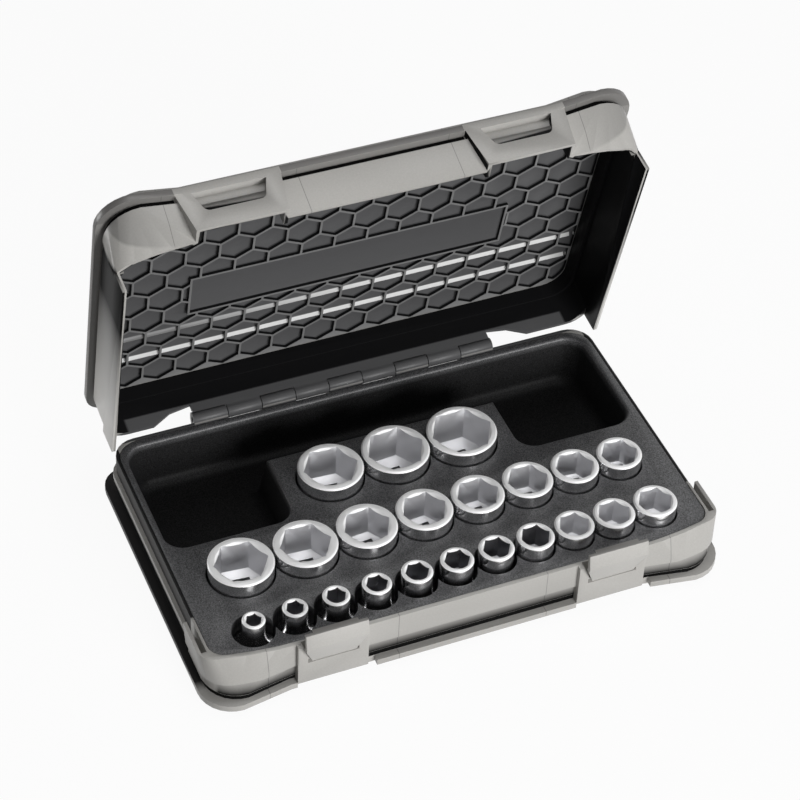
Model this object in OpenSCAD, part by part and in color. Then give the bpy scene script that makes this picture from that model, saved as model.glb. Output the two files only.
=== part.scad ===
// Hard plastic case with a hinged lid, two flip latches and an insert that seats a row of drive sockets.
// Origin: centre of the base's underside. +X to the right, +Y to the hinge, +Z up. Millimetres.
// Shapes of the lid are drawn with the lid closed and then swung open about the hinge pin.

/* [Case] */
// Width over the front corner walls
case_w = 312.6; // [311:0.2:315]
// Depth from the front wall's face to the rear wall's face
case_d = 182; // [181.6:0.1:184]
// Height of the parting plane above the underside
base_h = 36; // [35.4:0.1:38]
// Height of the lid above the parting plane
lid_h = 36; // [35.5:0.1:39]
// Angle the lid stands open
lid_open = 76.2; // [70:0.5:90]
// Thickness of the walls
wall_t = 2.2; // [2:0.1:2.4]
// Thickness of the base's floor
floor_t = 2.5; // [2:0.1:2.8]
// Radius of the lid's front corners
corner_r = 16; // [14:0.5:18]
// Radius of the base's front corners
base_corner_r = 10; // [9:0.5:12]
// Radius of the rear corners
rear_r = 14; // [12:0.5:16]

/* [Rims] */
// How far the rims stand out in front of the front wall
rim_out = 2.7; // [2.4:0.1:3.2]
// How much further the rims stand out at the front corners
rim_bulge = 4.6; // [3:0.2:6]
// How far the rims stand out behind the rear wall
rim_back = 6; // [5:0.2:7]
// Height of each rim
rim_h = 4; // [3:0.1:4.4]
// Height of the crown beyond each rim
crown_h = 4.4; // [4:0.1:5]
// How far the crown is set in from its rim
crown_in = 7; // [6:0.2:9]

/* [Tray] */
// Width of the insert
tray_w = 298.8; // [298:0.2:299]
// Thickness of the insert's skin
skin_t = 1.8; // [1.4:0.1:2]
// Space round a socket in its pocket
pocket_clear = 1; // [0.8:0.1:1.2]
// How much the bins' walls lean in from top to bottom
bin_draft = 5; // [3:0.5:6]
// Radius of the bins' corners
bin_r = 12; // [9:0.5:14]

/* [Sockets] */
// Length of a socket
socket_len = 40; // [39:0.2:40]
// Across-flats size of the drive square
drive_sq = 12.9; // [12.75:0.05:13.1]
// Diameter of the drive end of the small sockets
drive_end_d = 22.5; // [21.5:0.1:22.8]

/* [Hinge] */
// Length of the hinge barrel
barrel_len = 190.7; // [186:0.1:192]
// Radius of the barrel
barrel_r = 4.2; // [4:0.05:4.3]
// Radius of the steel pin
pin_r = 1.5; // [1.2:0.05:1.8]
// Radial play of the pin in its knuckles
pin_play = 0.05; // [0.03:0.01:0.08]
// Gap between neighbouring knuckles
knuckle_gap = 0.5; // [0.4:0.1:0.8]

/* [Latches] */
// Distance of each latch from the middle of the case
latch_x = 83.8; // [83:0.1:85]
// Width of a latch at its top
latch_w = 36; // [34:0.5:36.5]
// Distance from a latch's pivot to its tip
latch_len = 23.6; // [23.4:0.1:23.8]
// Radius of a latch's pivot pins
latch_pin_r = 1; // [0.8:0.05:1.05]
// Width of the panel that carries a latch
panel_w = 41.2; // [40:0.2:42]
// Width of the window that a latch hooks into
window_w = 36; // [35:0.2:37]

/* [Lid ribs] */
// Spacing of the honeycomb cells across their flats
cell_pitch = 20; // [18:0.5:22]
// Thickness of the honeycomb ribs
rib_t = 1.3; // [1:0.1:1.6]
// Height of the honeycomb ribs
rib_h = 2.8; // [2:0.1:3.2]
// Width of the smooth label plate among the ribs
plate_w = 192; // [180:1:200]
// Depth of the smooth label plate
plate_d = 32; // [28:0.5:34]

/* [Hidden] */
front_sizes = [8, 9, 10, 11, 12, 13, 14, 15, 16, 17, 18];
mid_sizes = [27, 26, 24, 23, 22, 21, 20, 19];
back_sizes = [28, 30, 32];

gap = 0.4;                                  // clearance between parts that pass each other
eps = 0.01;                                 // overshoot of cuts
big = 400;                                  // reach of cutting blocks
front_y = -case_d / 2;                      // face of the front wall
rear_y = case_d / 2;                        // face of the rear wall
half_w = case_w / 2;
tray_hw = tray_w / 2;
inner_hw = tray_hw + gap;                   // inner face of the base's side walls
step_hw = inner_hw + 1.4;                   // outer face of the side walls above the ledge
skirt_in = step_hw + gap;                   // inner face of the lid's skirts
skirt_out = skirt_in + 2.3;                 // outer face of the lid's skirts
ledge_z = base_h - 12.6;                    // where the skirts land
step_y = front_y + 36.6;                    // where the side walls step in behind the front corners
base_bow = [100, 211, base_corner_r];       // where the front wall starts to curve back, radii
lid_bow = [112, 100, corner_r];             // the same for the foot of the lid's outer front walls
rim_bow_x = 108;                            // where the rims start to bulge
flare_in = 2.4;                             // foot of the base's front corners, inside the rim
corner_x = latch_x + panel_w / 2;           // where those corners start
wing_x = latch_x + 25;                      // where the lid's outer front walls start
band_in = 1.2;                              // step of the lower band
groove_in = 1.7;                            // depth of the groove over the rim
low_wall_t = 1.2;                           // thinner wall behind the groove
groove_h = 3.5;
band_h = 8;
rim_top = crown_h + rim_h;                  // top of the base's rim
groove_top = rim_top + groove_h;            // top of the groove over it
lip_h = 0.5;                                // front wall's lip above the insert
lid_gap = 0.9;                              // lid's lower edge above the parting plane
hinge_y = rear_y + 1.9;
hinge_z = base_h + 1.25;
barrel_x0 = -100.2;                         // left end of the barrel
knuckles = 9;
knuckle_p = barrel_len / knuckles;
panel_face = front_y - rim_out - 0.1;       // face of the latch panels and frames
pivot_y = panel_face + 1.4;
pivot_z = base_h - 10.2;
latch_r = 2.6;                              // rounded foot of a latch
lip_w = 26;                                 // width of the lip that hooks the lid
ridge_z = 14.2;                             // height of a latch's ridge above its pivot
lid_front = front_y + 3.3;                  // face of the lid's middle front wall
lid_wing = front_y + 7.2;                   // foot of the lid's outer front walls
wing_in = 3.2;                              // top of those walls, inside the rim
middle_lean = 2.8;                          // how far the middle front wall leans out to the rim
lid_top = base_h + lid_h;
lid_rim_z = lid_top - crown_h - 1.6 - rim_h; // underside of the lid's rim
lid_wall_z = base_h + lid_gap;              // lower edge of the lid's walls
groove_z = lid_rim_z - groove_h;            // lower edge of the lid's groove
middle_hw = latch_x - 20;                   // half the width of the middle front wall
lid_floor_z = lid_top - 2.5;                // inner face of the lid's top panel
well_z = floor_t + skin_t + gap;            // bottoms of the bins and pockets
seat_z = well_z + 0.3;                      // where a socket's foot stands
plate_z = base_h - skin_t;                  // underside of the insert's top plate
plate_y = -4.6;                             // front edge of the label plate
comb_y = -26.7;                             // middle of one row of cells
pocket_wall = 1;                            // thickness of the pockets' tubes
front_row_y = front_y + 21.2;               // middles of the socket rows at x = 0
mid_row_y = front_y + 63.3;
back_row_y = front_y + 113.5;
front_row_x = -122.3;                       // first socket of each row
mid_row_x = -114.2;
back_row_x = -41.2;

function arc(c, r, a0, a1, n) = [for (i = [0:n]) let (a = a0 + (a1 - a0) * i / n) c + r * [cos(a), sin(a)]];
function mirrored(pts) = concat(pts, [for (i = [len(pts) - 1:-1:0]) [-pts[i][0], pts[i][1]]]);

// Right half of a wall outline: straight front, wide curve, corner, side, rear corner
function wall_half(w, f, b, bow) =
    let (r = bow[2], s = (w - r - bow[0]) / (bow[1] - r), a = asin(s), c = [bow[0], f + bow[1]])
    concat(arc(c, bow[1], -90, -90 + a, 3),
        arc(c + (bow[1] - r) * [s, -cos(a)], r, -90 + a, 0, 6),
        arc([w - rear_r, b - rear_r], rear_r, 0, 90, 6));
// Right half of a rim outline: it stands further out at the front corner
function rim_half(in) =
    let (w = half_w + 0.7 - in, f = front_y - rim_out + in, b = rear_y + rim_back - in, r = corner_r + 4)
    concat([[rim_bow_x, f]], arc([w - r, f - rim_bulge + r], r, -90, 0, 7),
        arc([w - rear_r, b - rear_r], rear_r, 0, 90, 6));

module wall_outline(w, f, b, bow = base_bow) polygon(mirrored(wall_half(w, f, b, bow)));
module rim_outline(in = 0) polygon(mirrored(rim_half(in)));
module slab(z0, z1) translate([0, 0, z0]) linear_extrude(z1 - z0) children();
module block(lo, hi) translate(lo) cube(hi - lo);
module both_sides() for (s = [-1, 1]) scale([s, 1, 1]) children();
module beyond(x) intersection() {
    children();
    translate([x, -big]) square(2 * big);
}
module at_latches() for (s = [-1, 1]) translate([s * latch_x, 0, 0]) children();
module along_x(x0, x1) translate([x0, 0, 0]) rotate([90, 0, 90]) linear_extrude(x1 - x0) children();
module along_y(y0, y1) translate([0, y1, 0]) rotate([90, 0, 0]) linear_extrude(y1 - y0) children();
module swing_open() translate([0, hinge_y, hinge_z]) rotate([-lid_open, 0, 0])
    translate([0, -hinge_y, -hinge_z]) children();
module barrel_part(r, first, trim) for (i = [first:2:knuckles - 1])
    along_x(barrel_x0 + i * knuckle_p + trim, barrel_x0 + (i + 1) * knuckle_p - trim)
        translate([hinge_y, hinge_z]) circle(r, $fn = 48);
module knuckle_web(first) for (i = [first:2:knuckles - 1])
    along_x(barrel_x0 + i * knuckle_p + knuckle_gap / 2, barrel_x0 + (i + 1) * knuckle_p - knuckle_gap / 2)
        children();
module pin_bore() along_x(barrel_x0 - 1, barrel_x0 + barrel_len + 1)
    translate([hinge_y, hinge_z]) circle(pin_r + pin_play, $fn = 32);

// Outline of a latch seen from the front, about its pivot
module latch_front() {
    foot = latch_w / 2 - 4.5;
    polygon(mirrored(concat([[0, -latch_r]], arc([foot - 4, 4 - latch_r], 4, -90, -10, 4),
        [[latch_w / 2, 12], [latch_w / 2, latch_len + eps]])));
}
// Its recess has square lower corners, so that the latch can fold down
module latch_recess() {
    foot = latch_w / 2 - 3.1;
    polygon(mirrored([[0, -latch_r - 0.5], [foot, -latch_r - 0.5], [foot, 3.5],
        [latch_w / 2 + 0.5, 12], [latch_w / 2 + 0.5, latch_len]]));
}
module latch_window(lower, upper, z0, z1) polygon(mirrored(concat([[0, z0]],
    arc([lower - 4, z0 + 4], 4, -90, -10, 4), [[upper, z1]])));

// The base's front walls, in below their face; their corners flare out to the rim
module base_front(in, z0, z1) intersection() {
    block([-big, front_y - 10, z0], [big, step_y, z1]);
    union() {
        slab(z0, z1) wall_outline(half_w - 1.4 - in, front_y + in, rear_y);
        both_sides() hull() {
            slab(groove_top, groove_top + eps) beyond(corner_x) rim_outline(flare_in + in);
            slab(base_h, base_h + lip_h) beyond(corner_x) wall_outline(half_w - in, front_y + in, rear_y);
        }
    }
}
module base_walls() {
    band_top = groove_top + band_h;
    slab(0, crown_h) rim_outline(crown_in);
    slab(crown_h, rim_top) rim_outline();
    slab(rim_top, groove_top) wall_outline(step_hw, front_y + groove_in, rear_y - 1);
    slab(groove_top, ledge_z - 4) wall_outline(step_hw + 0.6, front_y + band_in, rear_y);
    slab(ledge_z - 4, ledge_z) wall_outline(skirt_out - 0.6, front_y, rear_y);
    slab(ledge_z, base_h) wall_outline(step_hw, front_y, rear_y);
    intersection() {
        block([-big, front_y - 10, rim_top], [big, step_y, groove_top]);
        slab(rim_top, groove_top) rim_outline(flare_in + groove_in);
    }
    base_front(band_in, groove_top, band_top);
    base_front(0, band_top, base_h + lip_h);
}

module base_shell() color("#8c8a87") difference() {
    union() {
        difference() {
            base_walls();
            // well for the insert
            slab(base_h - 14, base_h + 5) wall_outline(inner_hw, front_y + wall_t + 0.2, rear_y - wall_t);
            slab(floor_t, base_h) wall_outline(inner_hw - 1.2, front_y + groove_in + low_wall_t,
                rear_y - wall_t - 1.4);
            // slots that take the lid's skirts behind the front corners
            both_sides() block([step_hw, front_y + 12.4, ledge_z], [skirt_out + gap, step_y + 1, base_h + 5]);
            // rim makes way for the latch panels and the notches beside them
            at_latches() block([-panel_w / 2, front_y - 10, -1],
                [panel_w / 2 + 5.5, front_y + 1.2, groove_top]);
            // room for the lid's knuckles
            barrel_part(barrel_r + gap, 1, 0);
        }
        at_latches() block([-panel_w / 2, panel_face, crown_h + 3.1],
            [panel_w / 2, front_y + wall_t, base_h]);
        knuckle_web(0) polygon([[rear_y - wall_t, 22], [rear_y - 0.5, 22], [hinge_y + barrel_r, hinge_z - 3],
            [hinge_y + barrel_r, hinge_z], [rear_y - wall_t, hinge_z]]);
        barrel_part(barrel_r, 0, knuckle_gap / 2);
    }
    pin_bore();
    at_latches() {
        // recess and pivot holes of a latch
        translate([0, 0, pivot_z]) along_y(panel_face - 1, pivot_y + latch_r + 0.3) latch_recess();
        along_x(-latch_w / 2 - 1.2, latch_w / 2 + 1.2) translate([pivot_y, pivot_z])
            circle(latch_pin_r + pin_play, $fn = 32);
    }
}

// A bin with leaning walls, grown on plan; z0 is the height of its bottom
module bin(x0, x1, y0, y1, grow, z0) {
    r = min(bin_r, (y1 - y0) / 2 - 0.6 * bin_draft);
    hull() for (z = [[base_h + (grow > 0 ? -eps : 1), 0], [z0, bin_draft]])
        translate([0, 0, z[0]]) linear_extrude(eps)
            for (x = [x0 - grow + r + z[1], x1 + grow - r - z[1]],
                    y = [y0 - grow + r + z[1] * 0.6, y1 + grow - r - z[1] * 0.6])
                translate([x, y]) circle(r, $fn = 32);
}
bin_x = tray_hw - 3.4;                      // outer end of the bins
bin_back = rear_y - 6.9;                    // rear edge of the bins
trough_y = back_row_y + 25.1;               // front edge of the trough behind the back row
module bins(grow, z0) {
    bin(-bin_x, -70, mid_row_y + 26.3, bin_back, grow, z0);
    bin(72, bin_x - 1.5, mid_row_y + 32.5, bin_back, grow, z0);
    bin(-bin_x, bin_x - 1.5, trough_y, bin_back, grow, z0);
}

function outer_d(s) = lookup(s, [[8, 13], [18, 25.2], [22, 30.8], [24, 34.8], [28, 38.3], [32, 41.3]]);
function body_d(s) = max(outer_d(s), drive_end_d);
function row_step(row, i) = (body_d(row[i]) + body_d(row[i + 1])) / 2;
// Places of a row of sockets: each next one clears its neighbour by a fixed space
function row_x(row, i, x0, space) = i == 0 ? x0
    : row_x(row, i - 1, x0, space) + row_step(row, i - 1) + space;
function find(row, s) = search(s, row)[0];
function socket_x(s) = s < 18.5 ? row_x(front_sizes, find(front_sizes, s), front_row_x, 1.6)
    : s < 27.5 ? row_x(mid_sizes, find(mid_sizes, s), mid_row_x, 1.3)
    : row_x(back_sizes, find(back_sizes, s), back_row_x, 1.3);
function socket_y(s) = s < 18.5 ? front_row_y + 0.022 * socket_x(s)
    : s < 27.5 ? mid_row_y + 0.021 * socket_x(s) : back_row_y + 0.016 * socket_x(s);
module at_socket(s) translate([socket_x(s), socket_y(s), seat_z]) children();

// Round wells of all the sockets, grown on plan, from z0 to z1
module wells(grow, z0, z1) for (s = concat(front_sizes, mid_sizes, back_sizes))
    translate([socket_x(s), socket_y(s), z0])
        cylinder(r = body_d(s) / 2 + pocket_clear + grow, h = z1 - z0, $fn = 48);

// Top plate of the insert
module tray_insert() color("#4a4a4b") difference() {
    slab(plate_z, base_h) wall_outline(tray_hw, front_y + wall_t + 0.2 + gap, rear_y - wall_t - gap);
    bins(0, well_z);
    wells(0, well_z, base_h + 1);
    barrel_part(barrel_r + 2 * gap, 0, -1);
    barrel_part(barrel_r + 2 * gap, 1, -1);
}

// Tub of the insert, hanging from the plate
module bin_tub() color("#3a3a3b") difference() {
    bins(skin_t, well_z - skin_t);
    bins(0, well_z);
    slab(plate_z, base_h + 2) square(big, center = true);
    wells(pocket_wall + gap, 0, base_h);
}

// Wells that seat the sockets, hanging from the plate
module socket_wells() color("#424243") difference() {
    wells(pocket_wall, well_z - skin_t, plate_z);
    wells(0, well_z, base_h);
}

// Drive socket of across-flats size s: hexagon up, drive square down
module socket(s) {
    top_r = outer_d(s) / 2;
    foot_r = body_d(s) / 2;
    hex_depth = 9 + 0.45 * s;
    neck = socket_len - hex_depth + 3;      // where a small socket has its full slimness
    swell_h = 10;                           // length of the swell from the drive end
    color("#d9d9dc") at_socket(s) difference() {
        rotate_extrude($fn = 64) polygon(concat([[0, 0], [foot_r - 0.8, 0], [foot_r, 0.8]],
            foot_r > top_r + 0.5
                ? [for (i = [0:5]) let (a = 90 * i / 5)
                    [foot_r + (top_r - foot_r) * sin(a), neck - swell_h * cos(a)]]
                : [[foot_r, 12]],
            [[top_r, socket_len - 0.9], [top_r - 0.9, socket_len], [0, socket_len]]));
        rotate(5 * sin(50 * s)) {
            translate([0, 0, socket_len - hex_depth]) {
                cylinder(r = s / sqrt(3), h = hex_depth + 1, $fn = 6);
                for (a = [0:60:300]) rotate(a) translate([s / sqrt(3) - 0.09 * s, 0, 0])
                    cylinder(r = 0.07 * s, h = hex_depth + 1, $fn = 16);
            }
            if (s > 18.5) block([-drive_sq / 2, -drive_sq / 2, -1], [drive_sq / 2, drive_sq / 2, socket_len]);
            else {
                block([-drive_sq / 2, -drive_sq / 2, -1], [drive_sq / 2, drive_sq / 2, 16]);
                cylinder(r = 0.3 * s, h = socket_len, $fn = 24);
            }
        }
        // lead-in of the mouth
        translate([0, 0, socket_len - 1]) cylinder(r1 = s * 0.51, r2 = s * 0.51 + 1.2, h = 1.2, $fn = 48);
    }
}

module hinge_pin() color("#9a9a9c") along_x(barrel_x0 + 1, barrel_x0 + barrel_len - 1)
    translate([hinge_y, hinge_z]) circle(pin_r, $fn = 32);

// Part of a slab-like shape that lies in the lid's front
module front_part() intersection() {
    children();
    translate([-big, -big, 0]) cube([2 * big, big + front_y + 20, big]);
}
// Outer front walls: they lean out from their foot to the rim; in is the depth below their face
module leaning_wings(in, z0, z1) both_sides() hull() {
    slab(z0, z0 + eps) beyond(wing_x + in) wall_outline(half_w - 0.3 - in, lid_wing + in, rear_y, lid_bow);
    slab(z1 - eps, z1) beyond(wing_x + in) rim_outline(wing_in + in);
}
// Middle front wall, in below its face
module middle_wall(in, z0, z1) along_x(in - middle_hw, middle_hw - in)
    polygon([[lid_front + in, z0], [lid_front - middle_lean + in, z1],
        [lid_wing + 6, z1], [lid_wing + 6, z0]]);

// Outer body of the lid: walls, groove, rim and crown
module lid_body() {
    slab(lid_wall_z, groove_z) wall_outline(skirt_out, lid_wing, rear_y, lid_bow);
    front_part() leaning_wings(0, lid_wall_z, groove_z);
    slab(groove_z - eps, lid_rim_z)
        wall_outline(skirt_out - 2.2, lid_wing + groove_in, rear_y - 1, lid_bow);
    front_part() slab(groove_z - eps, lid_rim_z) rim_outline(wing_in + groove_in);
    middle_wall(0, lid_wall_z, groove_z);
    slab(lid_rim_z, lid_rim_z + rim_h) rim_outline();
    slab(lid_rim_z + rim_h, lid_top) rim_outline(crown_in);
    // skirts that cover the base's side walls
    both_sides() along_x(skirt_in, skirt_out) polygon([[front_y + 19, base_h + 2],
        [front_y + 17.6, ledge_z + 0.3], [rear_y - 7.4, ledge_z + 0.3], [rear_y - 5.4, base_h + 4]]);
}

module lid_ribs() {
    comb_d = cell_pitch * sqrt(3) / 2;
    frame_lo = [-plate_w / 2 - rib_t, plate_y - rib_t, lid_floor_z - rib_h];
    difference() {
        union() {
            slab(lid_floor_z - rib_h, lid_floor_z + eps) wall_outline(skirt_out - wall_t - 1.2,
                lid_wing + wall_t + groove_in - 1, rear_y - wall_t, lid_bow);
            front_part() slab(lid_floor_z - rib_h, lid_floor_z + eps)
                rim_outline(wing_in + groove_in + wall_t - 1.2);
        }
        for (row = [-5:6], col = [-8:8]) {
            x = 8.5 + (col + (row % 2 == 0 ? 0 : 0.5)) * cell_pitch;
            y = comb_y + row * comb_d;
            if (abs(x) < 156 && y < 88) translate([x, y, lid_floor_z - rib_h - 1]) rotate(30)
                cylinder(r = (cell_pitch - rib_t) / sqrt(3), h = rib_h + 1, $fn = 6);
        }
        block(frame_lo + [0, 0, -1], [plate_w / 2 + rib_t, plate_y + plate_d + rib_t, lid_floor_z + 1]);
    }
    // raised edge and floor of the label plate
    difference() {
        block(frame_lo, [plate_w / 2 + rib_t, plate_y + plate_d + rib_t, lid_floor_z + eps]);
        block([-plate_w / 2, plate_y, 0], [plate_w / 2, plate_y + plate_d, lid_floor_z - 0.6]);
    }
    // two stiffening beads
    for (y = [41, 61]) along_x(5 - skirt_in, skirt_in - 5)
        polygon([[y, lid_floor_z + eps], [y + 2.4, lid_floor_z - 1.4], [y + 4.8, lid_floor_z + eps]]);
}

module lid_shell() color("#6f6e6c") swing_open() {
    inner_front = lid_wing + wall_t;
    difference() {
        union() {
            difference() {
                lid_body();
                slab(0, lid_rim_z - groove_h - 1.5)
                    wall_outline(skirt_in, inner_front, rear_y - wall_t, lid_bow);
                slab(base_h, lid_floor_z)
                    wall_outline(skirt_out - wall_t - 2.4, inner_front + groove_in, rear_y - wall_t - 1,
                        lid_bow);
                // hollows behind the leaning walls and under the rim
                front_part() leaning_wings(wall_t, lid_wall_z - 0.5, groove_z - 1);
                front_part() slab(groove_z - 1 - eps, lid_floor_z) rim_outline(wing_in + groove_in + wall_t);
                middle_wall(wall_t, lid_wall_z - 1, groove_z);
                // scoops beside the barrel
                for (x = [[barrel_x0, -1], [barrel_x0 + barrel_len, 1]]) along_y(rear_y - 6, rear_y + 1)
                    polygon([[x[0] - x[1], base_h - 1], [x[0] - x[1], base_h + 9],
                        [x[0] + x[1] * 12, base_h + 7], [x[0] + x[1] * 27, base_h - 1]]);
                // room for the base's knuckles
                barrel_part(barrel_r + gap, 0, -knuckle_gap / 2);
            }
            lid_ribs();
            // frames that the latches hook into
            at_latches() along_y(panel_face, lid_wing + wall_t) polygon([[-26, base_h + lid_gap],
                [26, base_h + lid_gap], [30.5, lid_rim_z + rim_h], [-30.5, lid_rim_z + rim_h]]);
            knuckle_web(1) polygon([[rear_y - wall_t, hinge_z], [hinge_y, hinge_z], [hinge_y, hinge_z + 2],
                [rear_y, hinge_z + 8], [rear_y - wall_t, hinge_z + 8]]);
            barrel_part(barrel_r, 1, knuckle_gap / 2);
        }
        pin_bore();
        at_latches() {
            // hollow behind the frame, its window and the recess over the window
            block([-23.6, panel_face + wall_t, 0], [23.6, lid_wing + wall_t + 1, base_h + 20]);
            along_y(panel_face - 1, panel_face + 5)
                latch_window(window_w / 2, window_w / 2 + 3.2, base_h + 12, base_h + 25);
            along_y(panel_face - 1, lid_wing + wall_t + 1)
                latch_window(window_w / 2, window_w / 2 + 0.6, base_h + 12, base_h + 19.5);
        }
    }
}

// Flip latch: rounded foot on pivot pins, arm that leans out to a ridge, lip that hooks the lid's frame
module latch() color("#a9a7a4") translate([0, pivot_y, pivot_z]) {
    intersection() {
        along_y(-20, 20) latch_front();
        along_x(-latch_w / 2, latch_w / 2) union() {
            circle(latch_r, $fn = 32);
            polygon([[-latch_r, 0], [-7.5, ridge_z], [-5.8, latch_len], [-3.8, latch_len],
                [-4.8, ridge_z], [0.4, 1], [0, -1]]);
        }
    }
    along_x(-lip_w / 2, lip_w / 2)
        polygon([[-4.5, latch_len], [-1.8, latch_len], [-1.8, latch_len - 1], [-4.5, latch_len - 1.4]]);
    along_x(-latch_w / 2 - 0.8, latch_w / 2 + 0.8) circle(latch_pin_r, $fn = 32);
}
module latch_left() translate([-latch_x, 0, 0]) latch();
module latch_right() translate([latch_x, 0, 0]) latch();

base_shell();
tray_insert();
bin_tub();
socket_wells();
lid_shell();
hinge_pin();
latch_left();
latch_right();
socket(8);  // socket_08
socket(9);  // socket_09
socket(10);  // socket_10
socket(11);  // socket_11
socket(12);  // socket_12
socket(13);  // socket_13
socket(14);  // socket_14
socket(15);  // socket_15
socket(16);  // socket_16
socket(17);  // socket_17
socket(18);  // socket_18
socket(19);  // socket_19
socket(20);  // socket_20
socket(21);  // socket_21
socket(22);  // socket_22
socket(23);  // socket_23
socket(24);  // socket_24
socket(26);  // socket_26
socket(27);  // socket_27
socket(28);  // socket_28
socket(30);  // socket_30
socket(32);  // socket_32
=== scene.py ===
import math

import bpy
from mathutils import Matrix, Vector


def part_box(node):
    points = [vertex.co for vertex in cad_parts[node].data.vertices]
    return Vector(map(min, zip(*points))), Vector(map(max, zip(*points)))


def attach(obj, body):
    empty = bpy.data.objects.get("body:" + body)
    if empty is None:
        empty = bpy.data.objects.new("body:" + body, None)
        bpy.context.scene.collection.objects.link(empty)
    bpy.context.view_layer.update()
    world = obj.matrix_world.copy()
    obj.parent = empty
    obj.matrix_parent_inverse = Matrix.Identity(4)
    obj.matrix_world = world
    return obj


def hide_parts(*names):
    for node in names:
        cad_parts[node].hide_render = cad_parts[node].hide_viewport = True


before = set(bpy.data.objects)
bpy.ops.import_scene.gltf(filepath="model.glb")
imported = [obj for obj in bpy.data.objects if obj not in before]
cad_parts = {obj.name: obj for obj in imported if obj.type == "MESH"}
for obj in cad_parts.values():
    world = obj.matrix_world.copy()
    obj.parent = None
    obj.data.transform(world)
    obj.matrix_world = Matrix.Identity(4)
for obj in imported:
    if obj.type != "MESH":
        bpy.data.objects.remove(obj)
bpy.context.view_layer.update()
mm = 0.001

cameraView = {
    "target": (0.020873, 0.0676, 0.036),
    "azimuth": -24.367,
    "elevation": 43.43,
    "distance": 1.563137,
    "roll": 2.942,
    "lens": 118.887,
}


def addCamera(view):
    az = math.radians(view["azimuth"])
    el = math.radians(view["elevation"])
    roll = math.radians(view["roll"])
    back = Vector((math.sin(az) * math.cos(el), -math.cos(az) * math.cos(el), math.sin(el)))
    level = (-back).cross(Vector((0, 0, 1))).normalized()
    rise = level.cross(-back)
    right = level * math.cos(roll) + rise * math.sin(roll)
    up = rise * math.cos(roll) - level * math.sin(roll)
    place = Matrix((right, up, back)).transposed().to_4x4()
    place.translation = Vector(view["target"]) + view["distance"] * back
    bpy.ops.object.camera_add()
    camera = bpy.context.object
    camera.name = "camera"
    camera.matrix_world = place
    camera.data.lens = view["lens"]
    camera.data.sensor_width = 36
    camera.data.clip_end = 50
    bpy.context.scene.camera = camera


addCamera(cameraView)
print("camera placed")


def clearSelection():
    bpy.ops.object.select_all(action="DESELECT")


def pick(piece):
    clearSelection()
    piece.select_set(True)
    bpy.context.view_layer.objects.active = piece


def applyModifier(piece, kind, settings):
    pick(piece)
    modifier = piece.modifiers.new(kind.lower(), kind)
    for name, value in settings.items():
        setattr(modifier, name, value)
    bpy.ops.object.modifier_apply(modifier=modifier.name)


def seat(piece, body, materials, smoothAngle=35):
    piece.data.materials.clear()
    for material in materials:
        piece.data.materials.append(material)
    pick(piece)
    bpy.ops.object.shade_smooth_by_angle(angle=math.radians(smoothAngle))
    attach(piece, body)


def linear(hexText):
    parts = [int(hexText[i : i + 2], 16) / 255 for i in (0, 2, 4)]
    return tuple(p / 12.92 if p <= 0.04045 else ((p + 0.055) / 1.055) ** 2.4 for p in parts) + (1,)


# Lower-case names are the node's own settings, all other keys are its inputs
def addNode(tree, kind, settings):
    node = tree.nodes.new("ShaderNode" + kind)
    for name, value in settings.items():
        if isinstance(name, str) and name.islower():
            setattr(node, name, value)
        elif isinstance(value, bpy.types.NodeSocket):
            tree.links.new(value, node.inputs[name])
        else:
            node.inputs[name].default_value = value
    return node


def newMaterial(name):
    material = bpy.data.materials.new(name)
    material.use_nodes = True
    material.node_tree.nodes.clear()
    return material, material.node_tree


def finishMaterial(tree, shader):
    addNode(tree, "OutputMaterial", {"Surface": shader.outputs[0]})


def mixColours(tree, factor, first, second):
    return addNode(tree, "Mix", {"data_type": "RGBA", 0: factor, 6: first, 7: second}).outputs[2]


def mapRange(tree, value, low, high, toLow=0.0, toHigh=1.0):
    limits = {"From Min": low, "From Max": high, "To Min": toLow, "To Max": toHigh}
    return addNode(tree, "MapRange", {"Value": value, **limits}).outputs[0]


def multiply(tree, parts):
    product = parts[0]
    for part in parts[1:]:
        product = addNode(tree, "Math", {"operation": "MULTIPLY", 0: product, 1: part}).outputs[0]
    return product


# 1 between low and high, with a soft edge, 0 outside
def between(tree, value, low, high, soft=0.1 * mm):
    return multiply(
        tree, [mapRange(tree, value, low - soft, low + soft), mapRange(tree, value, high + soft, high - soft)]
    )


# Place and facing in the frame of the closed lid, where its walls stand upright
def closedLid(tree, coords):
    hinge = Vector((0, 92.9 * mm, 37.25 * mm))
    angle = (math.radians(76.2), 0, 0)
    shift = hinge - Matrix.Rotation(angle[0], 3, "X") @ hinge
    place = addNode(tree, "Mapping", {"Vector": coords["Object"], "Location": shift, "Rotation": angle})
    facing = addNode(
        tree, "Mapping", {"vector_type": "NORMAL", "Vector": coords["Normal"], "Rotation": angle}
    )
    return place.outputs[0], facing.outputs[0]


def sidewaysDistance(tree, split):
    return addNode(tree, "Math", {"operation": "ABSOLUTE", 0: split.outputs[0]}).outputs[0]


casePlastic = {
    "light": "b6b4b0",
    "dark": "adaba7",
    "paintedCornerShade": "6f6e6c",  # painted shade: the lid's front wall greys towards its corners
    # painted shade on the base's sides and on the sides of its rim
    "paintedSideShade": "2b2a2a",
    "paintedSkirtHighlight": "dedcd8",  # painted highlight: the lid's skirts pale towards the hinge, out of painted shade at the front
    "seam": "7d7b79",  # fine lines where the mould's slides met
    # painted shade on the lid's rims
    "rim": "767472",
    "groove": "0c0c0c",  # painted shadow: narrow gaps over the rims are drawn black
    "inside": "575758",  # painted shade on the floor of the lid, its barrel and the base's rear wall
    # painted shade, near black, on the lid's inner walls and the sides of its ribs
    "insideWall": "161617",
    # painted highlights on the crests of the ribs and along the beads
    "paintedRibHighlight": "7c7c7c",
    "paintedBeadHighlight": "e4e4e3",
    "grain": 0.9 * mm,  # spark-eroded texture, drawn about three times as coarse so that it shows
    "roughness": 0.36,
}

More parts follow.
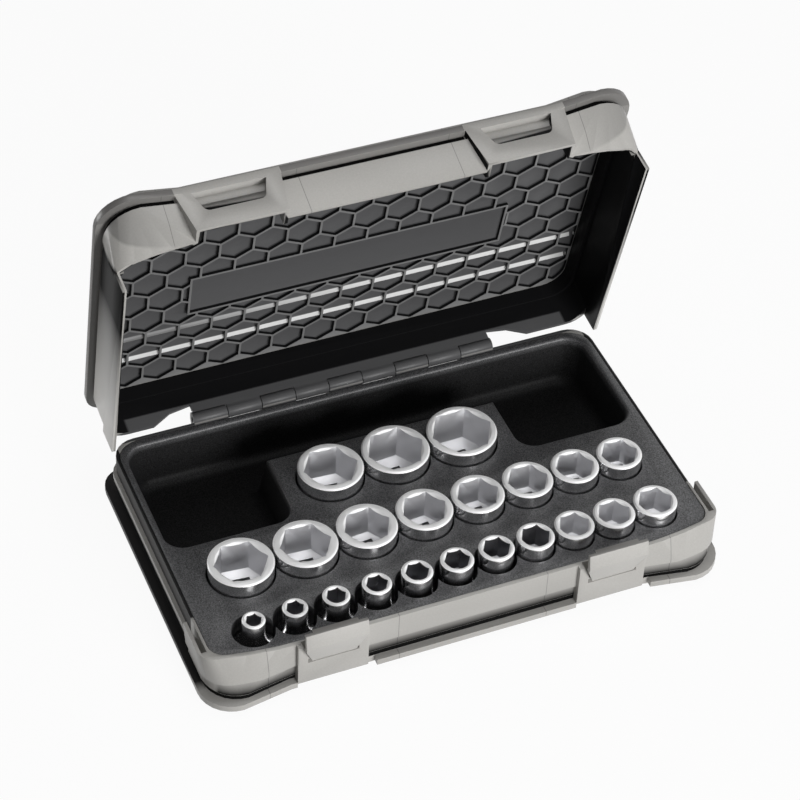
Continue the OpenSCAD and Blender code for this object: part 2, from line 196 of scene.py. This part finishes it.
# Where the front walls turn, and the distances of their fine upright lines from the middle
frontWall = (-83 * mm, -84 * mm)
seams = {"places": (44.4 * mm, 121.0 * mm), "width": 0.35 * mm, "soft": 0.12 * mm}


def seamLines(tree, side, front):
    lines = [between(tree, side, at, at + seams["width"], seams["soft"]) for at in seams["places"]]
    both = addNode(tree, "Math", {"operation": "ADD", 0: lines[0], 1: lines[1]}).outputs[0]
    return multiply(tree, [both, front])


# Heights, depths and distances from the middle at which the base's painted shade changes
baseZones = {
    "groove": (8.45 * mm, 11.85 * mm),
    "rimTop": (12.2 * mm, 12 * mm),
    "band": (12 * mm, 19.8 * mm),
    "bandFade": (20.5 * mm, 12.5 * mm),
    "bandFront": (-86 * mm, -88 * mm),
    "panels": (63.1 * mm, 104.6 * mm),
    "lowSide": (11.9 * mm, 19.4 * mm),
    "highSide": (23.5 * mm, 50 * mm),
    "outermost": (148 * mm, 149 * mm),
    "ledgeWall": (148 * mm, 151.6 * mm),
    "behindCorners": (-53 * mm, -52 * mm),
    "footRun": (-84 * mm, -45 * mm),
    "footHeight": (9 * mm, 2.2 * mm),
    "footEdge": 1.2 * mm,
    "rearWall": (88.6 * mm, 88.8 * mm),
    "rearHigh": (20 * mm, 60 * mm),
}


# Zones of the base, all painted shade: black painted shadow in the groove over the rim, a wall that darkens
# down to it, dark sides
def paintBase(tree, look, coords, colour):
    zones = baseZones
    split = addNode(tree, "SeparateXYZ", {"Vector": coords["Object"]})
    depth, height = split.outputs[1], split.outputs[2]
    side = sidewaysDistance(tree, split)
    outermost = mapRange(tree, side, *zones["outermost"])
    behind = mapRange(tree, depth, *zones["behindCorners"])
    offPanels = mapRange(tree, between(tree, side, *zones["panels"]), 1, 0)  # latch panels stay light
    band = multiply(
        tree, [between(tree, height, *zones["band"]), mapRange(tree, depth, *zones["bandFront"]), offPanels]
    )
    upper = multiply(
        tree, [between(tree, height, *zones["highSide"]), between(tree, side, *zones["ledgeWall"]), behind]
    )
    lower = multiply(tree, [between(tree, height, *zones["lowSide"]), outermost, behind])
    # painted shade: along the sides the rim is black above a pale foot, which widens towards the front
    # corners
    foot = mapRange(tree, depth, *zones["footRun"], *zones["footHeight"])
    aboveFoot = addNode(tree, "Math", {"operation": "SUBTRACT", 0: height, 1: foot}).outputs[0]
    shadedRim = multiply(
        tree,
        [
            mapRange(tree, aboveFoot, 0, zones["footEdge"]),
            outermost,
            mapRange(tree, height, *zones["rimTop"]),
        ],
    )
    rear = multiply(
        tree, [mapRange(tree, depth, *zones["rearWall"]), between(tree, height, *zones["rearHigh"])]
    )
    groove = multiply(tree, [between(tree, height, *zones["groove"]), offPanels])
    front = mapRange(tree, depth, *frontWall)
    colour = mixColours(tree, seamLines(tree, side, front), colour, linear(look["seam"]))
    # painted shade: the front wall darkens down towards the groove's painted shadow
    fade = mapRange(tree, height, *zones["bandFade"])
    bandTone = mixColours(tree, fade, colour, linear(look["groove"]))
    colour = mixColours(tree, band, colour, bandTone)
    # painted shade on the sides and on the rim's sides
    for zone in (shadedRim, upper, lower):
        colour = mixColours(tree, zone, colour, linear(look["paintedSideShade"]))
    # painted shade on the base's rear wall
    colour = mixColours(tree, rear, colour, linear(look["inside"]))
    # painted shadow: the groove over the rim is black, clear of the latch panels
    return mixColours(tree, groove, colour, linear(look["groove"]))


# The same for the lid, in the frame of the closed lid
lidZones = {
    "inward": (-0.01, -0.02),  # a wall's facing against its place
    "wallTop": (66.4 * mm, 66.2 * mm),
    "barrel": (88.5 * mm, 88.7 * mm),
    "barrelTop": (46 * mm, 45 * mm),
    "frames": (53.5 * mm, 114 * mm),
    "rim": (62 * mm, 66.2 * mm),
    "groove": (58.55 * mm, 61.95 * mm),
    "deep": (66.5 * mm, 69.8 * mm),
    "withinSides": (151.5 * mm, 151.2 * mm),
    "withinEnds": (-92 * mm, 90 * mm),
    "crest": (66.5 * mm, 66.95 * mm),
    "crestSoft": 0.03 * mm,
    "cellFloor": (68.6 * mm, 68.8 * mm),
    "skirtFace": (152.6 * mm, 152.8 * mm),
    "skirtFront": (-74 * mm, -72 * mm),
    "skirtTop": (58.5 * mm, 58.4 * mm),
    "skirtFade": (-35 * mm, 60 * mm),
    "cornerFade": (108 * mm, 150 * mm),
    "cornerShare": 0.6,
}

# The two stiffening beads: the depth of each, and the place along it where its painted highlight dies away
beads = {
    "places": ((41 * mm, -40 * mm), (61 * mm, -190 * mm)),
    "width": 2.5 * mm,
    "slope": (68 * mm, 69.4 * mm),
    "fade": 60 * mm,
    "dimmest": 0.25,
}


# Floor of the lid between its walls, in painted shade, with painted highlights on the crests of the ribs and
# the beads
def lidFloor(tree, look, split):
    height = split.outputs[2]
    crest = between(tree, height, *lidZones["crest"], lidZones["crestSoft"])
    cellFloor = mapRange(tree, height, *lidZones["cellFloor"])
    # painted shade: cell walls near black, cell floors dark
    inner = mixColours(tree, cellFloor, linear(look["insideWall"]), linear(look["inside"]))
    # painted highlight on the crests of the ribs
    inner = mixColours(tree, crest, inner, linear(look["paintedRibHighlight"]))
    # painted highlight along each bead, dimmer towards one end
    for near, dimEnd in beads["places"]:
        shine = mapRange(
            tree, split.outputs[0], dimEnd - beads["fade"], dimEnd + beads["fade"], beads["dimmest"], 1.0
        )
        slope = between(tree, height, *beads["slope"])
        across = between(tree, split.outputs[1], near, near + beads["width"])
        inner = mixColours(tree, multiply(tree, [across, slope, shine]), inner, linear(look["paintedBeadHighlight"]))
    return inner


# Zones of the lid, painted shade and highlights: its inside is dark, the sides of the ribs are black and
# their crests lighter
def paintLid(tree, look, coords, colour):
    zones = lidZones
    place, facing = closedLid(tree, coords)
    split = addNode(tree, "SeparateXYZ", {"Vector": place})
    depth, height = split.outputs[1], split.outputs[2]
    side = sidewaysDistance(tree, split)
    flat = addNode(tree, "VectorMath", {"operation": "MULTIPLY", 0: place, 1: (1, 1.7, 0)})
    outward = addNode(tree, "VectorMath", {"operation": "DOT_PRODUCT", 0: flat.outputs[0], 1: facing})
    inward = mapRange(tree, outward.outputs["Value"], *zones["inward"])
    outside = mapRange(tree, inward, 1, 0)
    front = mapRange(tree, depth, *frontWall)
    clearOfFrames = mapRange(tree, between(tree, side, *zones["frames"]), 1, 0)
    wall = multiply(tree, [inward, mapRange(tree, height, *zones["wallTop"])])
    barrel = multiply(
        tree, [mapRange(tree, depth, *zones["barrel"]), mapRange(tree, height, *zones["barrelTop"])]
    )
    # painted shade: the lid's rims are drawn darker, clear of the frames
    rim = multiply(tree, [between(tree, height, *zones["rim"]), outside, clearOfFrames])
    # painted shadow: the groove over the lid's rim is black, clear of the frames
    groove = multiply(tree, [between(tree, height, *zones["groove"]), clearOfFrames])
    skirt = multiply(
        tree,
        [
            mapRange(tree, side, *zones["skirtFace"]),
            mapRange(tree, depth, *zones["skirtFront"]),
            mapRange(tree, height, *zones["skirtTop"]),
        ],
    )
    within = multiply(
        tree,
        [
            between(tree, height, *zones["deep"]),
            mapRange(tree, side, *zones["withinSides"]),
            between(tree, depth, *zones["withinEnds"]),
        ],
    )
    colour = mixColours(tree, seamLines(tree, side, front), colour, linear(look["seam"]))
    # painted shade and highlight: the skirts run from black at the front to pale towards the hinge
    towardsHinge = mapRange(tree, depth, *zones["skirtFade"])
    skirtTone = mixColours(tree, towardsHinge, linear(look["groove"]), linear(look["paintedSkirtHighlight"]))
    # painted shade: the lid's front wall greys towards its corners
    nearCorner = mapRange(tree, side, *zones["cornerFade"], 0, zones["cornerShare"])
    colour = mixColours(tree, multiply(tree, [nearCorner, front]), colour, linear(look["paintedCornerShade"]))
    colour = mixColours(tree, skirt, colour, skirtTone)
    # painted shade on the rims, the inner walls and the barrel, painted shadow in the grooves
    for zone, tone in ((rim, "rim"), (groove, "groove"), (wall, "insideWall"), (barrel, "inside")):
        colour = mixColours(tree, zone, colour, linear(look[tone]))
    # the floor between the walls takes its painted shade and highlights
    return mixColours(tree, within, colour, lidFloor(tree, look, split))


# Painted shade: the top of a latch, where its faces turn upward, is drawn darker than its face
def paintLatch(tree, look, coords, colour):
    upward = addNode(tree, "SeparateXYZ", {"Vector": coords["Normal"]}).outputs[2]
    return mixColours(tree, mapRange(tree, upward, 0.75, 0.95), colour, linear(look["top"]))


# A plastic's surface; shine scales its highlights down where shade is painted into the colour, because shaded
# hollows hardly reflect
def plasticSurface(tree, look, colour, grain, bump, shine):
    relief = addNode(tree, "Bump", dict(bump, Height=grain.outputs[0]))
    settings = {
        "Base Color": colour,
        "Roughness": look["roughness"],
        "Normal": relief.outputs[0],
        "IOR": 1.5,
        "Specular IOR Level": shine,
    }
    finishMaterial(tree, addNode(tree, "BsdfPrincipled", settings))


def mouldedPlastic(name, look, paint):
    material, tree = newMaterial(name)
    coords = addNode(tree, "TexCoord", {}).outputs
    grain = addNode(tree, "TexNoise", {"Vector": coords["Object"], "Scale": 1 / look["grain"], "Detail": 2.0})
    cloud = addNode(tree, "TexNoise", {"Vector": coords["Object"], "Scale": 18.0, "Detail": 1.0})
    tone = addNode(tree, "Math", {"operation": "ADD", 0: grain.outputs[0], 1: cloud.outputs[0]})
    spread = mapRange(tree, tone.outputs[0], 0.7, 1.3)
    colour = mixColours(tree, spread, linear(look["dark"]), linear(look["light"]))
    colour = paint(tree, look, coords, colour)
    brightness = addNode(tree, "RGBToBW", {"Color": colour}).outputs[0]
    shine = mapRange(tree, brightness, 0.005, 0.25, 0.04, 0.5)
    plasticSurface(tree, look, colour, grain, {"Strength": 0.1, "Distance": 0.1 * mm}, shine)
    return material


trayPlastic = {
    "dark": "2a2a2b",
    "speck": "7a7a7c",
    "deep": "101010",  # painted shade: the sheet darkens down into the bins and pockets
    "deepFrom": 35.0 * mm,
    "deepTo": 31.0 * mm,
    "deepest": 0.8,
    "grain": 0.55 * mm,
    "roughness": 0.42,
}


def formedSheet(name, look):
    material, tree = newMaterial(name)
    coords = addNode(tree, "TexCoord", {}).outputs["Object"]
    grain = addNode(tree, "TexNoise", {"Vector": coords, "Scale": 1 / look["grain"], "Detail": 2.0})
    speck = mapRange(tree, grain.outputs[0], 0.35, 0.8)
    colour = mixColours(tree, speck, linear(look["dark"]), linear(look["speck"]))
    height = addNode(tree, "SeparateXYZ", {"Vector": coords}).outputs[2]
    # painted shade, darker down into the bins and pockets, with weaker highlights there
    deep = mapRange(tree, height, look["deepFrom"], look["deepTo"], 0.0, look["deepest"])
    colour = mixColours(tree, deep, colour, linear(look["deep"]))
    shine = mapRange(tree, deep, 0.0, look["deepest"], 0.5, 0.1)
    plasticSurface(tree, look, colour, grain, {"Strength": 0.35, "Distance": 0.12 * mm}, shine)
    return material


chromePlate = {"colour": "f0f0f1", "roughness": 0.16}
endFaceHighlightLook = {"colour": "ffffff", "roughness": 0.5, "metallic": 0.2}  # painted highlight: the bright chrome end face is drawn near-white and mostly non-metallic
smallBoreShadeLook = {"colour": "a6a6a9", "roughness": 0.3}  # painted shade: small bores are drawn darker
boreDullAndShadeLook = {"colour": "e2e2e4", "roughness": 0.4}  # duller inside the hexagon, and drawn a little darker as painted shade


def polishedChrome(name, look):
    material, tree = newMaterial(name)
    coords = addNode(tree, "TexCoord", {}).outputs["Object"]
    haze = addNode(tree, "TexNoise", {"Vector": coords, "Scale": 120.0, "Detail": 2.0})
    rough = mapRange(tree, haze.outputs[0], 0.3, 0.7, look["roughness"] - 0.03, look["roughness"] + 0.05)
    shader = addNode(
        tree,
        "BsdfPrincipled",
        {"Base Color": linear(look["colour"]), "Metallic": look.get("metallic", 1.0), "Roughness": rough},
    )
    finishMaterial(tree, shader)
    return material


# top: painted shade on the latches' upward faces
latchPlastic = dict(casePlastic, light="bcbab6", dark="b2b0ac", top="8c8a87")
baseAbs = mouldedPlastic("moulded_abs_base", casePlastic, paintBase)
lidAbs = mouldedPlastic("moulded_abs_lid", casePlastic, paintLid)
latchAbs = mouldedPlastic("moulded_abs_latch", latchPlastic, paintLatch)
traySheet = formedSheet("vacuum_formed_polystyrene_tray", trayPlastic)
platedSteel = polishedChrome("polished_chrome_plate", chromePlate)
endFaceHighlight = polishedChrome("end_face_painted_highlight", endFaceHighlightLook)
boreDullAndShade = polishedChrome("dull_chrome_bore_and_painted_shade", boreDullAndShadeLook)
smallBoreShade = polishedChrome("small_bore_painted_shade", smallBoreShadeLook)
groundPin = polishedChrome("ground_steel_pin", {"colour": "b8b8ba", "roughness": 0.3})
print("materials made")


# A copy of the node is merged and its flat faces are rejoined, ready for rounded edges
def mergedCopy(node, name):
    piece = bpy.data.objects.new(name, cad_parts[node].data.copy())
    bpy.context.scene.collection.objects.link(piece)
    pick(piece)
    bpy.ops.object.mode_set(mode="EDIT")
    bpy.ops.mesh.select_all(action="SELECT")
    bpy.ops.mesh.remove_doubles(threshold=0.004 * mm)
    bpy.ops.mesh.dissolve_limited(angle_limit=math.radians(0.5))
    bpy.ops.object.mode_set(mode="OBJECT")
    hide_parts(node)
    return piece


def roundEdges(piece, width, sharp=30):
    rounding = {"width": width, "segments": 2, "limit_method": "ANGLE", "angle_limit": math.radians(sharp)}
    applyModifier(piece, "BEVEL", rounding)


# node: piece, body, slot, material and the width of its rounded edges
caseParts = {
    "base_shell": ("case_base", "case", "case_plastic", baseAbs, 0.45 * mm),
    "lid_shell": ("case_lid", "lid", "case_plastic", lidAbs, 0.3 * mm),
    "latch_left": ("latch_arm_left", "latch_left", "latch_plastic", latchAbs, 0.6 * mm),
    "latch_right": ("latch_arm_right", "latch_right", "latch_plastic", latchAbs, 0.6 * mm),
}
for node, (name, body, slot, material, width) in caseParts.items():
    piece = mergedCopy(node, name)
    roundEdges(piece, width, sharp=25)
    seat(piece, body, [material])
    print("rounded", name, len(piece.data.polygons))

# Roundings of the insert, and the limits of the region where its bins and trough lie
insertTray = {
    "edge": 0.6 * mm,
    "brim": 1.6 * mm,
    "fillet": 7 * mm,
    "floor": 4.7 * mm,
    "top": 36 * mm,
    "levelTolerance": 0.1 * mm,
    "binDepth": (-2 * mm, 86 * mm),
    "binSide": 147 * mm,
    "troughFront": 46 * mm,
    "socketSide": 66 * mm,
}


# Rounds the edges round the bins that lie at one height
def roundBins(tray, look, height, width, segments):
    pick(tray)
    bpy.ops.object.mode_set(mode="EDIT")
    bpy.ops.mesh.select_mode(type="EDGE")
    bpy.ops.mesh.select_all(action="DESELECT")
    bpy.ops.object.mode_set(mode="OBJECT")
    (nearest, farthest), troughFront = look["binDepth"], look["troughFront"]
    for edge in tray.data.edges:
        ends = [tray.data.vertices[index].co for index in edge.vertices]
        level = all(abs(end.z - height) < look["levelTolerance"] for end in ends)
        besideBins = all(abs(end.x) < look["binSide"] and nearest < end.y < farthest for end in ends)
        offSockets = all(end.y > troughFront or abs(end.x) > look["socketSide"] for end in ends)
        edge.select = level and besideBins and offSockets
    bpy.ops.object.mode_set(mode="EDIT")
    bpy.ops.mesh.bevel(offset=width, segments=segments, affect="EDGES")
    bpy.ops.object.mode_set(mode="OBJECT")


# The insert is one formed sheet: its plate, tub and wells are joined, then its corners are rounded
def makeInsert(look):
    tray = mergedCopy("tray_insert", "insert_tray")
    for node in ("bin_tub", "socket_wells"):
        part = mergedCopy(node, node + "_part")
        applyModifier(tray, "BOOLEAN", {"operation": "UNION", "solver": "EXACT", "object": part})
        bpy.data.objects.remove(part)
    pick(tray)
    bpy.ops.object.mode_set(mode="EDIT")
    bpy.ops.mesh.select_all(action="SELECT")
    bpy.ops.mesh.remove_doubles(threshold=0.01 * mm)
    bpy.ops.mesh.dissolve_limited(angle_limit=math.radians(1))
    bpy.ops.object.mode_set(mode="OBJECT")
    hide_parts("tray_insert", "bin_tub", "socket_wells")
    roundBins(tray, look, look["floor"], look["fillet"], 5)
    roundBins(tray, look, look["top"], look["brim"], 3)
    roundEdges(tray, look["edge"], sharp=40)
    seat(tray, "case", [traySheet])


makeInsert(insertTray)
print("insert joined")

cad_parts["hinge_pin"].data.materials.clear()
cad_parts["hinge_pin"].data.materials.append(groundPin)


socketFinish = {
    "rounding": 0.25 * mm,
    "endDepth": 1.2 * mm,  # the end face and its lead-in
    "boreShare": 0.585,  # just over half the width across flats
    "brightFrom": 16,  # smaller bores are darker, a painted shade
}


# Faces inside the end face's ring get the bore's material with its painted shade, the end face and its
# lead-in the near-white one with its painted highlight
def finishBore(piece, node, look):
    low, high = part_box(node)
    middle = (low + high) / 2
    boreRadius = int(node[-2:]) * mm * look["boreShare"]
    for face in piece.data.polygons:
        if face.center.z > high.z - look["endDepth"] and face.normal.z > 0.3:
            face.material_index = 2
        elif (face.center - middle).xy.length < boreRadius:
            face.material_index = 1


def makeSocket(node, look):
    piece = mergedCopy(node, node + "_chrome")
    roundEdges(piece, look["rounding"])
    # small bores get the darker painted shade
    bore = smallBoreShade if int(node[-2:]) < look["brightFrom"] else boreDullAndShade
    seat(piece, node, [platedSteel, bore, endFaceHighlight])
    finishBore(piece, node, look)


for node in sorted(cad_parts):
    if node.startswith("socket_") and node != "socket_wells":
        makeSocket(node, socketFinish)
print("sockets done")


# Camera and transmission rays see plain white; reflections see it too, but dimmer on the left
def whiteRays(tree, leftward, dark, pale):
    path = addNode(tree, "LightPath", {}).outputs
    direct = addNode(
        tree, "Math", {"operation": "MAXIMUM", 0: path["Is Camera Ray"], 1: path["Is Transmission Ray"]}
    )
    fade = mapRange(tree, leftward, dark, pale, 0.1, 1.0)
    mirrored = multiply(tree, [path["Is Glossy Ray"], fade])
    return addNode(tree, "Math", {"operation": "MAXIMUM", 0: direct.outputs[0], 1: mirrored}).outputs[0]


def paleFloor():
    material, tree = newMaterial("pale_floor")
    place = addNode(tree, "TexCoord", {}).outputs["Object"]
    across = addNode(tree, "SeparateXYZ", {"Vector": place}).outputs[0]
    seen = whiteRays(tree, across, -0.35, -0.1)
    # pale to the eye, but throws little light back up on the case
    tone = mixColours(tree, seen, linear("9a9a9a"), linear("ffffff"))
    matt = addNode(tree, "BsdfDiffuse", {"Color": tone})
    glow = addNode(tree, "Emission", {"Color": (1, 1, 1, 1), "Strength": 1.0})
    share = addNode(tree, "Math", {"operation": "MULTIPLY", 0: seen, 1: 0.94})
    finishMaterial(
        tree, addNode(tree, "MixShader", {0: share.outputs[0], 1: matt.outputs[0], 2: glow.outputs[0]})
    )
    return material


clearSelection()
bpy.ops.mesh.primitive_plane_add(size=12, location=(0, 0, -0.2 * mm))  # just clear of the case's feet
floor = bpy.context.object
floor.name = "floor"
floor.data.materials.append(paleFloor())

lamps = {
    "keyFromFront": {"place": (0.45, -1.9, 0.55), "size": 0.9, "power": 37},
    "topSoftbox": {"place": (0.25, 0.1, 1.8), "size": 0.9, "power": 6},
    "lowFromLeftRear": {"place": (-0.75, 0.55, 0.12), "size": 0.25, "power": 2.2},
}
for name, lamp in lamps.items():
    bpy.ops.object.light_add(type="AREA", location=lamp["place"])
    light = bpy.context.object
    light.name = name
    light.data.size = lamp["size"]
    light.data.energy = lamp["power"]
    aim = Vector((0, 0, 0.04)) - Vector(lamp["place"])
    light.rotation_euler = aim.to_track_quat("-Z", "Y").to_euler()

world = bpy.data.worlds.new("studio")
bpy.context.scene.world = world
world.use_nodes = True
tree = world.node_tree
tree.nodes.clear()
direction = addNode(tree, "TexCoord", {}).outputs["Generated"]
across = addNode(tree, "SeparateXYZ", {"Vector": direction}).outputs[0]
dim = addNode(tree, "Background", {"Color": (1, 1, 1, 1), "Strength": 0.1})
white = addNode(tree, "Background", {"Color": (1, 1, 1, 1), "Strength": 1.0})
seen = whiteRays(tree, across, -0.5, -0.1)
both = addNode(tree, "MixShader", {0: seen, 1: dim.outputs[0], 2: white.outputs[0]})
addNode(tree, "OutputWorld", {"Surface": both.outputs[0]})
bpy.context.scene.view_settings.view_transform = "Standard"
print("lights and floor placed")
